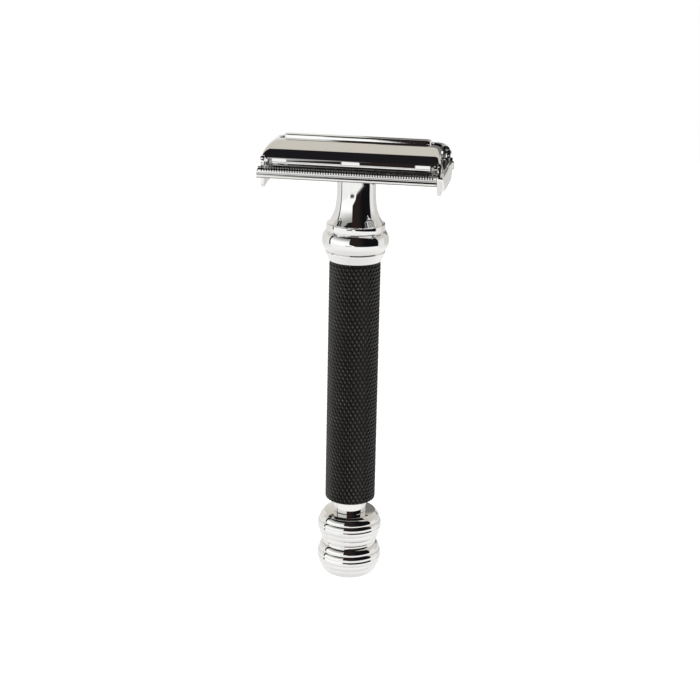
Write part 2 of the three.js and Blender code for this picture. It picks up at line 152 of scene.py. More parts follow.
def arc(cx, cy, radius, start, end, segments):
    """Points on an arc, angles in degrees."""
    angles = [math.radians(start + (end - start) * k / segments) for k in range(segments + 1)]
    return [(cx + radius * math.cos(a), cy + radius * math.sin(a)) for a in angles]


def lathe(name, profile, steps=TURN_STEPS, closed=True):
    """A profile of (radius, z) turned about Z. Points on the axis close the shape."""
    verts, rows = [], []
    for radius, z in profile:
        if radius < 1e-6:
            rows.append([len(verts)] * steps)
            verts.append((0, 0, z))
            continue
        first = len(verts)
        for k in range(steps):
            a = 2 * math.pi * k / steps
            verts.append((radius * math.cos(a), radius * math.sin(a), z))
        rows.append(list(range(first, first + steps)))
    faces = []
    pairs = list(zip(rows, rows[1:]))
    if closed:
        pairs.append((rows[-1], rows[0]))
    for low, high in pairs:
        for k in range(steps):
            n = (k + 1) % steps
            ring = []
            for index in (low[k], low[n], high[n], high[k]):
                if index not in ring:
                    ring.append(index)
            if len(ring) > 2:
                faces.append(ring)
    return make_object(name, verts, faces)


def skin(name, rings):
    """Rings of points joined one after another, with both ends closed."""
    count = len(rings[0])
    verts = [point for ring in rings for point in ring]
    faces = []
    for s in range(len(rings) - 1):
        a, b = s * count, (s + 1) * count
        for k in range(count):
            n = (k + 1) % count
            faces.append([a + k, a + n, b + n, b + k])
    faces.append(list(range(count)))
    faces.append(list(range(len(verts) - count, len(verts))))
    return make_object(name, verts, faces)


def loft_x(name, sections, xs):
    """Closed outlines in the YZ plane, one at each place along X, joined into a solid. A place may be one
    number or one for each point."""
    rings = []
    for outline, x in zip(sections, xs):
        places = x if isinstance(x, list) else [x] * len(outline)
        rings.append([(px, y, z) for px, (y, z) in zip(places, outline)])
    return skin(name, rings)


def plate_x(name, outline, x0, x1):
    return loft_x(name, [outline, outline], [x0, x1])


def plate_z(name, outline, z0, z1):
    return skin(name, [[(x, y, z) for x, y in outline] for z in (z0, z1)])


def block(x0, x1, y0, y1, z0, z1):
    """A box between two places along each axis, given in either order along X and Y."""
    x0, x1 = sorted((x0, x1))
    y0, y1 = sorted((y0, y1))
    return plate_z("block", [(x0, y0), (x1, y0), (x1, y1), (x0, y1)], z0, z1)


def pin_x(name, profile, y, z, steps=32):
    """A profile of (radius, x) turned about a line along X through (y, z)."""
    obj = lathe(name, profile, steps, closed=False)
    place = Matrix.Translation((0, y * MM, z * MM)) @ Matrix.Rotation(math.pi / 2, 4, "Y")
    obj.data.transform(place)
    clean(obj)
    return obj


def stadium(half_length, half_width, segments=16):
    straight = half_length - half_width
    right = arc(straight, 0, half_width, -90, 90, segments)
    left = arc(-straight, 0, half_width, 90, 270, segments)
    return right + left


def mirrored(half):
    """The half outline for y >= 0, from the middle out and back, with its mirror image."""
    return half + [(-y, z) for y, z in reversed(half) if y > 1e-6]


def mirror(obj, axis):
    scale = Vector((1, 1, 1))
    scale[axis] = -1
    obj.data.transform(Matrix.Diagonal((*scale, 1)))
    obj.data.flip_normals()
    return obj


def merge(objects):
    """Several shells made into one object."""
    first = objects[0]
    work = bmesh.new()
    for obj in objects:
        work.from_mesh(obj.data)
    work.to_mesh(first.data)
    work.free()
    for obj in objects[1:]:
        bpy.data.objects.remove(obj)
    return first


def spline(points, steps):
    """A smooth curve through points, as a list of points."""
    out = []
    ends = [points[0]] + list(points) + [points[-1]]
    for i in range(1, len(ends) - 2):
        p0, p1, p2, p3 = (Vector(p) for p in ends[i - 1:i + 3])
        for k in range(steps):
            t = k / steps
            bend = 0.5 * (2 * p1 + (p2 - p0) * t + (2 * p0 - 5 * p1 + 4 * p2 - p3) * t * t
                          + (3 * p1 - p0 - 3 * p2 + p3) * t * t * t)
            out.append((bend.x, bend.y))
    out.append(tuple(points[-1]))
    return out


# ---- shader helpers ----

class Nodes:
    """Short ways to add nodes to a tree."""

    def __init__(self, tree):
        self.tree = tree

    def add(self, kind, **values):
        node = self.tree.nodes.new(kind)
        for key, value in values.items():
            setattr(node, key, value)
        return node

    def put(self, socket, value):
        if isinstance(value, bpy.types.NodeSocket):
            self.tree.links.new(value, socket)
        else:
            socket.default_value = value

    def math(self, operation, a, b=0.0, c=0.0):
        node = self.add("ShaderNodeMath", operation=operation)
        for socket, value in zip(node.inputs, (a, b, c)):
            self.put(socket, value)
        return node.outputs[0]

    def product(self, *masks):
        result = masks[0]
        for mask in masks[1:]:
            result = self.math("MULTIPLY", result, mask)
        return result

    def split(self, vector):
        node = self.add("ShaderNodeSeparateXYZ")
        self.put(node.inputs[0], vector)
        return node.outputs

    def fall(self, value, low, high):
        return self.ramp(value, low, high, 1.0, 0.0)

    def above(self, value, place, soft):
        return self.ramp(value, self.math("SUBTRACT", place, soft), self.math("ADD", place, soft))

    def below(self, value, place, soft):
        return self.fall(value, self.math("SUBTRACT", place, soft), self.math("ADD", place, soft))

    def ramp(self, value, low, high, to_low=0.0, to_high=1.0):
        node = self.add("ShaderNodeMapRange", interpolation_type="SMOOTHSTEP")
        for key, v in (("Value", value), ("From Min", low), ("From Max", high),
                       ("To Min", to_low), ("To Max", to_high)):
            self.put(node.inputs[key], v)
        return node.outputs[0]

    def mix(self, factor, a, b):
        node = self.add("ShaderNodeMix", data_type="RGBA")
        self.put(node.inputs["Factor"], factor)
        self.put(node.inputs[6], a)
        self.put(node.inputs[7], b)
        return node.outputs[2]

    def noise(self, vector, scale, detail=3.0, roughness=0.5, distortion=0.0):
        node = self.add("ShaderNodeTexNoise")
        for key, v in (("Vector", vector), ("Scale", scale), ("Detail", detail),
                       ("Roughness", roughness), ("Distortion", distortion)):
            self.put(node.inputs[key], v)
        return node.outputs["Fac"]

    def stretched(self, vector, scale):
        node = self.add("ShaderNodeMapping")
        self.put(node.inputs["Vector"], vector)
        node.inputs["Scale"].default_value = scale
        return node.outputs["Vector"]


def new_group(name, inputs, outputs):
    """inputs gives each input's default. None makes it a vector."""
    group = bpy.data.node_groups.new(name, "ShaderNodeTree")
    for label, value in inputs.items():
        kind = "NodeSocketVector" if value is None else "NodeSocketFloat"
        socket = group.interface.new_socket(label, in_out="INPUT", socket_type=kind)
        if value is not None:
            socket.default_value = value
    for label in outputs:
        group.interface.new_socket(label, in_out="OUTPUT", socket_type="NodeSocketFloat")
    enter = group.nodes.new("NodeGroupInput")
    leave = group.nodes.new("NodeGroupOutput")
    return group, Nodes(group), enter.outputs, leave.inputs


def use_group(nodes, group, **values):
    node = nodes.add("ShaderNodeGroup", node_tree=group)
    for key, value in values.items():
        nodes.put(node.inputs[key.replace("_", " ")], value)
    return node.outputs


def make_band():
    """1 where a value lies between two limits, with soft edges."""
    group, n, given, result = new_group(
        "soft band", {"Value": 0.0, "From": 0.0, "To": 1.0, "Soft": 0.02}, ["Mask"])
    rise = n.above(given["Value"], given["From"], given["Soft"])
    n.put(result["Mask"], n.math("MULTIPLY", rise, n.below(given["Value"], given["To"], given["Soft"])))
    return group


def make_polish():
    """Wiping haze, hairline scratches and a slight waviness of a polished metal surface."""
    group, n, given, result = new_group(
        "polish marks", {"Vector": None, "Base": 0.04, "Haze": 0.06, "Scratches": 0.5},
        ["Roughness", "Height", "Mask"])
    vector = given["Vector"]
    cloud = n.ramp(n.noise(vector, 160.0, 4.0, 0.6, 0.6), 0.45, 0.75)
    fine = n.noise(n.stretched(vector, (900.0, 5200.0, 5200.0)), 1.0, 2.0)
    cross = n.noise(n.stretched(vector, (5600.0, 5600.0, 700.0)), 1.0, 2.0)
    lines = n.math("MAXIMUM", n.ramp(fine, 0.66, 0.8), n.ramp(cross, 0.68, 0.82))
    lines = n.math("MULTIPLY", lines, given["Scratches"])
    haze = n.math("MULTIPLY", cloud, given["Haze"])
    marks = n.math("MULTIPLY", lines, 0.12)
    n.put(result["Roughness"], n.math("ADD", n.math("ADD", given["Base"], haze), marks))
    wave = n.noise(vector, 90.0, 2.0, 0.4)
    n.put(result["Height"], n.math("SUBTRACT", wave, n.math("MULTIPLY", lines, 0.15)))
    n.put(result["Mask"], cloud)
    return group


def make_brushed():
    """Parallel machining lines along a chosen direction."""
    group, n, given, result = new_group(
        "machining lines", {"Vector": None, "Base": 0.25, "Spread": 0.2}, ["Roughness", "Height", "Mask"])
    lines = n.noise(given["Vector"], 1.0, 5.0, 0.7)
    n.put(result["Roughness"], n.math("MULTIPLY_ADD", lines, given["Spread"], given["Base"]))
    n.put(result["Height"], lines)
    n.put(result["Mask"], n.ramp(lines, 0.5, 0.7))
    return group


def make_dust():
    """Sparse pale specks, more of them on faces that look up."""
    group, n, given, result = new_group("settled dust", {"Vector": None, "Amount": 0.3}, ["Mask"])
    cells = n.add("ShaderNodeTexVoronoi", feature="F1")
    n.put(cells.inputs["Vector"], given["Vector"])
    cells.inputs["Scale"].default_value = 1400.0
    specks = n.fall(cells.outputs["Distance"], 0.02, 0.1)
    patches = n.ramp(n.noise(given["Vector"], 220.0, 2.0), 0.55, 0.7)
    up = n.split(n.add("ShaderNodeNewGeometry").outputs["Normal"])[2]
    facing = n.ramp(up, 0.2, 0.9)
    n.put(result["Mask"], n.product(specks, patches, facing, given["Amount"]))
    return group


BAND = make_band()
POLISH = make_polish()
BRUSHED = make_brushed()
DUST = make_dust()


def new_material(name):
    material = bpy.data.materials.new(name)
    material.use_nodes = True
    tree = material.node_tree
    tree.nodes.clear()
    n = Nodes(tree)
    shader = n.add("ShaderNodeBsdfPrincipled")
    out = n.add("ShaderNodeOutputMaterial")
    n.put(out.inputs["Surface"], shader.outputs["BSDF"])
    place = n.add("ShaderNodeTexCoord").outputs["Object"]
    return material, n, shader, place


def add_bump(n, shader, height, strength, distance):
    bump = n.add("ShaderNodeBump")
    bump.inputs["Strength"].default_value = strength
    bump.inputs["Distance"].default_value = distance
    n.put(bump.inputs["Height"], height)
    n.put(shader.inputs["Normal"], bump.outputs["Normal"])


def chrome_material(name, painted_shadow_faces=None):
    """Bright chrome plate over polished brass, with faint wiping marks. The optional mask function picks the
    faces inside the head, which are given a dark colour that stands in for their shadow: painted shadow,
    with some added roughness."""
    material, n, shader, place = new_material(name)
    shader.inputs["Metallic"].default_value = 1.0
    marks = use_group(n, POLISH, Vector=place, Base=0.025, Haze=0.03, Scratches=0.35)
    dust = use_group(n, DUST, Vector=place, Amount=0.35)
    metal = n.mix(marks["Mask"], (0.93, 0.93, 0.92, 1), (0.89, 0.89, 0.885, 1))
    metal = n.mix(dust["Mask"], metal, (0.75, 0.74, 0.72, 1))
    rough = n.math("MULTIPLY_ADD", dust["Mask"], 0.4, marks["Roughness"])
    # painted shadow: the masked faces inside the head are darkened to near black and made rougher
    if painted_shadow_faces:
        mask = painted_shadow_faces(n, place)
        metal = n.mix(mask, metal, (0.1, 0.095, 0.09, 1))
        rough = n.math("MULTIPLY_ADD", mask, 0.25, rough)
    n.put(shader.inputs["Base Color"], metal)
    n.put(shader.inputs["Roughness"], rough)
    add_bump(n, shader, marks["Height"], 0.04, 0.00002)
    return material


def guard_painted_shadow(n, place):
    """Mask of painted shadow on the guard: the floors and sides of the tooth gaps, the tray under the blade,
    and, fainter, the undersides of the low bars.
    """
    _, y, z = n.split(place)
    facing = n.split(n.add("ShaderNodeNewGeometry").outputs["True Normal"])
    out = n.math("ABSOLUTE", y)
    side = n.ramp(n.math("ABSOLUTE", facing[0]), 0.6, 0.8)
    tooth = n.product(side, n.ramp(out, 0.0104, 0.01045), n.fall(z, 0.1045, 0.10462))
    up = n.ramp(facing[2], 0.5, 0.7)
    tray = n.product(up, n.fall(out, 0.01078, 0.01084))
    root = n.product(up, n.fall(z, 0.1039, 0.10405))
    low = n.product(n.math("MAXIMUM", tray, root), n.ramp(z, 0.10335, 0.1034))
    inner_wall = n.product(n.fall(out, 0.01082, 0.01088), n.ramp(z, 0.1036, 0.1037))
    under = n.product(n.fall(facing[2], -0.7, -0.4), n.ramp(out, 0.0106, 0.0107), n.fall(z, 0.1024, 0.1025))
    # painted shadow in the tooth gaps, on the tray and the inner walls, with some added roughness; fainter
    # painted shadow under the low bars
    dull = n.math("MAXIMUM", n.math("MAXIMUM", tooth, low), inner_wall)
    return n.math("MAXIMUM", dull, n.math("MULTIPLY", under, 0.85))


def door_painted_shadow(n, place):
    """Mask of painted shadow on a door: its hollow side and the sides of its notches."""
    facing = n.split(n.add("ShaderNodeNewGeometry").outputs["True Normal"])
    x, y, z = n.split(place)
    out = n.math("ABSOLUTE", y)
    down = n.product(n.fall(facing[2], -0.3, -0.15), n.fall(out, 0.0102, 0.0104))
    notch = n.product(n.ramp(n.math("ABSOLUTE", facing[0]), 0.6, 0.8), n.ramp(out, 0.0096, 0.0097),
                      n.fall(n.math("ABSOLUTE", x), 0.0195, 0.0196), n.fall(z, 0.1064, 0.1065))
    return n.math("MAXIMUM", down, notch)


def machined(name, scale, base, spread, bright, dull, bump):
    """Metal with fine lines. scale stretches them along one axis."""
    material, n, shader, place = new_material(name)
    shader.inputs["Metallic"].default_value = 1.0
    lines = use_group(n, BRUSHED, Vector=n.stretched(place, scale), Base=base, Spread=spread)
    colour = n.mix(lines["Mask"], bright, dull)
    n.put(shader.inputs["Base Color"], colour)
    n.put(shader.inputs["Roughness"], lines["Roughness"])
    add_bump(n, shader, lines["Height"], *bump)
    return material, n, shader, place, colour, lines["Roughness"]


def steel_material():
    """Turned or milled steel with fine lines."""
    return machined("machined steel", (900.0, 900.0, 9000.0), 0.18, 0.22,
                    (0.62, 0.63, 0.64, 1), (0.5, 0.5, 0.51, 1), (0.15, 0.00002))[0]


def brass_material():
    """Turned brass, a little tarnished."""
    material, n, shader, place, bright, rough = machined(
        "turned brass", (800.0, 800.0, 8000.0), 0.2, 0.25,
        (0.72, 0.52, 0.24, 1), (0.6, 0.42, 0.18, 1), (0.15, 0.00002))
    tarnish = n.ramp(n.noise(place, 260.0, 4.0), 0.42, 0.68)
    n.put(shader.inputs["Base Color"], n.mix(tarnish, bright, (0.42, 0.29, 0.13, 1)))
    n.put(shader.inputs["Roughness"], n.math("MULTIPLY_ADD", tarnish, 0.15, rough))
    return material


def blade_material():
    """Rolled stainless strip: lines along its length, brighter ground edges."""
    material, n, shader, place, body, _ = machined(
        "blade steel", (400.0, 12000.0, 12000.0), 0.12, 0.18,
        (0.66, 0.68, 0.7, 1), (0.55, 0.57, 0.59, 1), (0.1, 0.00001))
    honed = n.ramp(n.math("ABSOLUTE", n.split(place)[1]), 0.01015, 0.0103)
    n.put(shader.inputs["Base Color"], n.mix(honed, body, (0.8, 0.81, 0.82, 1)))
    return material


def paint_material():
    """Black paint over a knurl: satin, mottled, rubbed thin on the crests."""
    material, n, shader, place = new_material("black paint")
    crest = n.add("ShaderNodeAttribute", attribute_name="crest").outputs["Fac"]
    mottle = n.noise(place, 700.0, 4.0, 0.6)
    rub = n.math("MULTIPLY", n.ramp(crest, 0.82, 1.0), n.ramp(n.noise(place, 330.0, 3.0), 0.4, 0.72))
    base = n.mix(mottle, (0.012, 0.011, 0.0105, 1), (0.024, 0.022, 0.02, 1))
    n.put(shader.inputs["Base Color"], n.mix(rub, base, (0.075, 0.07, 0.064, 1)))
    rough = n.math("MULTIPLY_ADD", mottle, 0.18, 0.26)
    n.put(shader.inputs["Roughness"], n.math("MULTIPLY_ADD", rub, -0.06, rough))
    shader.inputs["Specular IOR Level"].default_value = 0.62
    add_bump(n, shader, n.noise(place, 5200.0, 3.0), 0.25, 0.00002)
    return material


MATERIALS = {
    "chrome": chrome_material("chrome plate"),
    "steel": steel_material(),
    "brass": brass_material(),
    "blade_steel": blade_material(),
    "black_paint": paint_material(),
}
# copies of the chrome plate with painted shadow inside the guard and the doors
GUARD_CHROME_WITH_PAINTED_SHADOW = chrome_material("chrome plate of the guard with painted shadow", guard_painted_shadow)
DOOR_CHROME_WITH_PAINTED_SHADOW = chrome_material("chrome plate of the doors with painted shadow", door_painted_shadow)


def finish_piece(obj, name, body, nodes, finish, material=None):
    """Names the piece, paints it, ties it to the body and hides the nodes it stands for."""
    obj.name = name
    obj.data.name = name
    obj.data.materials.clear()
    obj.data.materials.append(material or MATERIALS[finish])
    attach(obj, body)
    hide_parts(*nodes)
    return obj


def paint_node(node, finish):
    """Keeps a CAD node and gives it a material."""
    obj = frame["nodes"][node]
    obj.data.materials.clear()
    obj.data.materials.append(MATERIALS[finish])


def in_mm(node):
    low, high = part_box(node)
    return low / MM, high / MM


# ---- handle tube ----

KNURL = {"starts": 35, "row": 0.935, "peak": 6.2, "valley": 5.88, "flat": 0.32}
END_ROUND = 0.75          # how far the ends of the tube are rounded


def handle_tube():
    low, high = in_mm("handle_tube")
    bottom, top = low.z, high.z
    starts = KNURL["starts"]
    inset = 0.3
    rows = round((top - bottom - 2 * inset) / KNURL["row"])
    row = (top - bottom - 2 * inset) / rows
    step = 2 * math.pi / starts
    verts, faces, crest = [], [], []

    def drop(z):
        near = min(z - bottom, top - z)
        if near >= END_ROUND:
            return 0.0
        return END_ROUND * (1 - math.sqrt(1 - (1 - near / END_ROUND) ** 2))

    def put(angle, z, radius, height):
        radius -= drop(z)
        verts.append((radius * math.cos(angle), radius * math.sin(angle), z))
        crest.append(height)
        return len(verts) - 1

    corner = []
    for j in range(rows + 1):
        z = bottom + inset + j * row
        corner.append([put((i + (j % 2) / 2) * step, z, KNURL["valley"], 0.0) for i in range(starts)])
    for j in range(rows + 1):
        z = bottom + inset + j * row
        for i in range(starts):
            middle = (i + 0.5 + (j % 2) / 2) * step
            left, right = corner[j][i], corner[j][(i + 1) % starts]
            k = (i + j % 2) % starts
            share = KNURL["flat"]
            tip = [put(middle - share * step / 2, z, KNURL["peak"], 1.0),
                   put(middle + share * step / 2, z, KNURL["peak"], 1.0)]
            if j == 0 or j == rows:
                way = 1 if j == 0 else -1
                far = put(middle, z + way * share * row, KNURL["peak"], 1.0)
                end = corner[j + way][k]
                faces += [[left, tip[0], far, end], [tip[1], right, end, far], tip + [far]]
                faces.append([left, right, tip[1], tip[0]])
                continue
            down, up = corner[j - 1][k], corner[j + 1][k]
            tip_down = put(middle, z - share * row, KNURL["peak"], 1.0)
            tip_up = put(middle, z + share * row, KNURL["peak"], 1.0)
            faces += [[left, down, tip_down, tip[0]], [down, right, tip[1], tip_down],
                      [right, up, tip_up, tip[1]], [up, left, tip[0], tip_up],
                      [tip[0], tip_down, tip[1], tip_up]]

    def join(before, now):
        for i in range(starts):
            m = (i + 1) % starts
            faces.append([before[i], before[m], now[m], now[i]])

    def end_rings(edge, z_end, way):
        inner = KNURL["valley"] - 0.9
        profile = [(5.72, 0.16), (5.6, 0.07), (5.42, 0.01), (5.3, 0.0), (inner, 0.0), (inner, 1.2)]
        before = edge
        offset = (len(corner) - 1) % 2 / 2 if way < 0 else 0.0
        for radius, depth in profile:
            now = []
            for i in range(starts):
                angle = (i + offset) * step
                verts.append((radius * math.cos(angle), radius * math.sin(angle), z_end + way * depth))
                crest.append(0.0)
                now.append(len(verts) - 1)
            join(before, now)
            before = now
        return before

    first = end_rings(corner[0], bottom, 1)
    last = end_rings(corner[rows], top, -1)
    for i in range(starts):
        m = (i + 1) % starts
        faces.append([first[i], first[m], last[i]])
        faces.append([first[m], last[m], last[i]])
    mesh = bpy.data.meshes.new("handle_tube")
    mesh.from_pydata([tuple(c * MM for c in v) for v in verts], [], faces)
    heights = mesh.attributes.new("crest", "FLOAT", "POINT")
    heights.data.foreach_set("value", crest)
    obj = bpy.data.objects.new("knurled_tube", mesh)
    bpy.context.scene.collection.objects.link(obj)
    clean(obj)
    shade(obj, 14)
    finish_piece(obj, "knurled_tube", "handle", ["handle_tube"], "black_paint")


# ---- collar and neck ----

def neck_collar():
    low, high = in_mm("neck_collar")
    foot = in_mm("handle_tube")[1].z + 0.05
    radius, bore = 4.63, 3.0
    slot_bottom = 99.8
    skirt = spline([(6.35, foot), (6.6, foot + 0.65), (7.02, foot + 1.6), (7.22, foot + 2.1),
                    (7.18, foot + 2.32), (7.05, foot + 2.36)], 5)
    bulge = spline([(7.12, foot + 2.44), (7.45, foot + 2.9), (7.88, foot + 3.7), (8.05, foot + 4.7),
                    (7.93, foot + 5.9), (7.6, foot + 6.7), (7.15, foot + 7.22)], 7)
    band = rounded([(6.85, foot + 7.25), (6.85, foot + 7.45), (7.08, foot + 7.5), (7.08, foot + 8.95),
                    (6.75, foot + 9.02)], [0, 0.06, 0.22, 0.3, 0], 5, closed=False)
    flare = spline([(6.6, foot + 9.1), (6.2, foot + 9.75), (5.72, foot + 10.6), (5.3, foot + 11.6),
                    (5.0, foot + 12.6), (4.8, foot + 13.9), (4.69, foot + 15.2), (radius, foot + 16.6)], 6)
    inside = [(radius, slot_bottom), (radius, high.z - 0.12), (radius - 0.12, high.z), (bore, high.z),
              (bore, low.z), (4.9, low.z), (4.9, foot)]
    obj = lathe("collar", skirt + bulge + band + flare + inside)
    cut(obj, [block(-6, 6, -2.2, 2.2, slot_bottom, high.z + 1)])
    shade(obj, 28)
    finish_piece(obj, "collar_and_neck", "handle", ["neck_collar"], "chrome")


# ---- knob and stem ----

UPPER_RINGS = [(8.65, 6.7), (10.1, 7.15), (11.5, 7.65), (12.95, 7.93), (14.3, 7.55), (15.8, 6.85)]
LOWER_RINGS = [(0.6, 6.45), (2.2, 7.2), (3.6, 7.73), (5.0, 7.92), (6.35, 7.55), (7.9, 6.95)]
RING_BULGE = 0.2


def ringed(boundaries, bulge, steps=8):
    """Convex rings between boundaries given as (z, radius), with a fine groove at each boundary."""
    out = []
    for (z0, r0), (z1, r1) in zip(boundaries, boundaries[1:]):
        run, rise = z1 - z0, r1 - r0
        length = math.hypot(run, rise)
        for k in range(steps):
            t = k / steps
            lift = 4 * bulge * t * (1 - t)
            out.append((r0 + rise * t + lift * run / length, z0 + run * t - lift * rise / length))
    out.append((boundaries[-1][1], boundaries[-1][0]))
    return out


def knob():
    low, high = in_mm("knob")
    groove = 0.06
    lower = [(z, r - groove) for z, r in LOWER_RINGS]
    upper = [(z, r - groove) for z, r in UPPER_RINGS]
    foot = rounded([(0, low.z), (5.25, low.z), (6.1, low.z + 0.22), (lower[0][1], lower[0][0])],
                   [0, 0.3, 0.4, 0], 5, closed=False)
    waist = [(6.66, 8.02), (6.6, 8.3), (6.6, 8.45)]
    rim = rounded([(upper[-1][1] + 0.02, upper[-1][0] + 0.05), (6.35, high.z), (3.4, high.z)],
                  [0, 0.2, 0], 5, closed=False)
    bore = [(3.4, high.z - 0.3), (3.4, low.z + 5), (0, low.z + 5)]
    rings = ringed(lower, RING_BULGE) + waist + ringed(upper, RING_BULGE)
    obj = lathe("knob", foot[:-1] + rings + rim + bore, closed=False)
    shade(obj, 20)
    finish_piece(obj, "ringed_knob", "knob", ["knob"], "chrome")


def knob_stem():
    low, high = in_mm("knob_stem")
    shoulder = in_mm("knob")[1].z + 0.05
    profile = [(0, low.z), (3.3, low.z), (3.3, shoulder), (4.0, shoulder), (4.1, shoulder + 0.1),
               (4.1, 27.7), (4.0, 27.8), (3.6, 27.8),
               (3.6, 29.25), (3.15, 29.25), (3.15, 30.05), (3.6, 30.05),
               (3.6, high.z - 0.1), (3.5, high.z), (3.0, high.z), (3.0, low.z + 2.7), (0, low.z + 2.7)]
    obj = lathe("stem", profile, 96, closed=False)
    shade(obj, 30)
    finish_piece(obj, "knob_stem_tube", "knob", ["knob_stem"], "chrome")


# ---- guard ----

TOOTH = {"pitch": 0.605, "gap": 0.29, "count": 72, "root": 103.7, "top": 104.7, "margin": 0.35}
TRAY_HALF = 18.5
BAR_SHORT = 20.2          # where each toothed bar stops at the end where its neighbour runs on
BAR_INNER = 10.45
BAR_FACE = 11.75
LEG_X = 12.0              # the holes in the tray for the spine bar's legs


def guard_half(top):
    """Half section of the guard, from the middle out and back. top is the height of the toothed strip."""
    low_bar = arc(11.18, 102.52, 0.62, 58, -150, 18)
    if top == TOOTH["top"]:
        points = [(10.72, 103.95), (10.75, top), (11.62, top),
                  (BAR_FACE, 104.45), (BAR_FACE, 103.25), (11.45, 103.05)]
        radii = [0, 0.1, 0.12, 0.12, 0.15, 0]
    else:
        points = [(10.75, 103.95), (10.8, top), (11.72, top), (BAR_FACE, 103.25), (11.45, 103.05)]
        radii = [0, 0, 0.05, 0.15, 0]
    strip = rounded(points, radii, 4, closed=False)
    return strip + low_bar + [(10.45, 103.1), (9.2, 103.3), (8, 103.4)]


def tooth_spans(start, end):
    """Where the teeth of one bar begin and end along X."""
    first = -TOOTH["pitch"] * TOOTH["count"] / 2
    places = [first + i * TOOTH["pitch"] for i in range(TOOTH["count"] + 1)]
    gaps = [x for x in places if start + TOOTH["margin"] < x < end - TOOTH["margin"]]
    edges = [start]
    for x in gaps:
        edges += [x - TOOTH["gap"] / 2, x + TOOTH["gap"] / 2]
    edges.append(end)
    return list(zip(edges[::2], edges[1::2]))


def guard_plate():
    half = in_mm("guard_plate")[1].x
    floor_top, ridge = 104.2, 104.87
    middle = [(0, floor_top), (8.2, floor_top), (8.2, ridge - 0.06), (8.26, ridge), (9.14, ridge),
              (9.2, ridge - 0.06), (9.45, 103.95)]
    section = mirrored(middle + guard_half(TOOTH["root"]) + [(0, 103.4)])
    body = plate_x("guard", section, -half, half)
    cutters = []
    for side in (-1, 1):
        past = side * (half + 1)
        cutters.append(block(side * TRAY_HALF, past, -BAR_INNER, BAR_INNER, 100, 106))
        cutters.append(block(side * BAR_SHORT, past, -side * (BAR_INNER - 1), -side * 13, 100, 106))
        leg = rounded([(-1.9, -1.1), (1.9, -1.1), (1.9, 1.1), (-1.9, 1.1)], 0.3, 4)
        cutters.append(plate_z("leg", [(x + side * LEG_X, y) for x, y in leg], 102, 106))
        for place in (-1, 0, 1):
            slot = stadium(4.5, 0.5, 8)
            slot = [(x + place * 12.4, y + side * 10.05) for x, y in slot]
            cutters.append(plate_z("slot", slot, 102.4, 104.5))
    hole = arc(0, 0, 2.3, 0, 352.5, 47)
    cutters.append(plate_z("hole", hole, 102, 106))
    cut(body, cutters)
    shells = [body]
    buried = TOOTH["root"] - 0.1
    tooth = [(y, z) for y, z in guard_half(TOOTH["top"]) if y > 10.5 and z > buried]
    tooth += [(BAR_FACE, buried), (10.82, buried)]
    for way in (-1, 1):
        long_end = way * (half - TOOTH["margin"])
        for x0, x1 in tooth_spans(*sorted((long_end, -way * BAR_SHORT))):
            shells.append(plate_x("tooth", [(way * y, z) for y, z in tooth], x0, x1))
    obj = merge(shells)
    shade(obj, 32)
    finish_piece(obj, "toothed_guard", "handle", ["guard_plate"], "chrome", GUARD_CHROME_WITH_PAINTED_SHADOW)


# ---- blade ----

def blade():
    low, high = in_mm("blade")
    mid = (low.z + high.z) / 2
    honed = high.y - 0.75
    section = [(-high.y, mid - 0.004), (-high.y, mid + 0.004), (-honed, high.z), (honed, high.z),
               (high.y, mid + 0.004), (high.y, mid - 0.004), (honed, low.z), (-honed, low.z)]
    obj = plate_x("blade", section, low.x, high.x)
    cutters = []
    for side in (-1, 1):
        for way in (-1, 1):
            x0, x1 = sorted((side * TRAY_HALF, side * (high.x + 1)))
            y0, y1 = sorted((way * 5.8, way * (high.y + 1)))
            corner = rounded([(x0, y0), (x1, y0), (x1, y1), (x0, y1)], 0.3, 4)
            cutters.append(plate_z("corner", corner, low.z - 1, high.z + 1))
    cutters.append(plate_z("slot", stadium(18.3, 1.4, 12), low.z - 1, high.z + 1))
    cut(obj, cutters)
    cut(obj, [plate_z("hole", arc(0, 0, 2.6, 0, 352.5, 47), low.z - 1, high.z + 1)])
    shade(obj, 2)
    finish_piece(obj, "blade_strip", "handle", ["blade"], "blade_steel")


# ---- end plates and hinge pins ----

HINGE_Y, HINGE_Z = 9.6, 106.2
PIN_BORE = 0.44
PAD_DOME = 0.6            # how far the outside of an end pad is domed


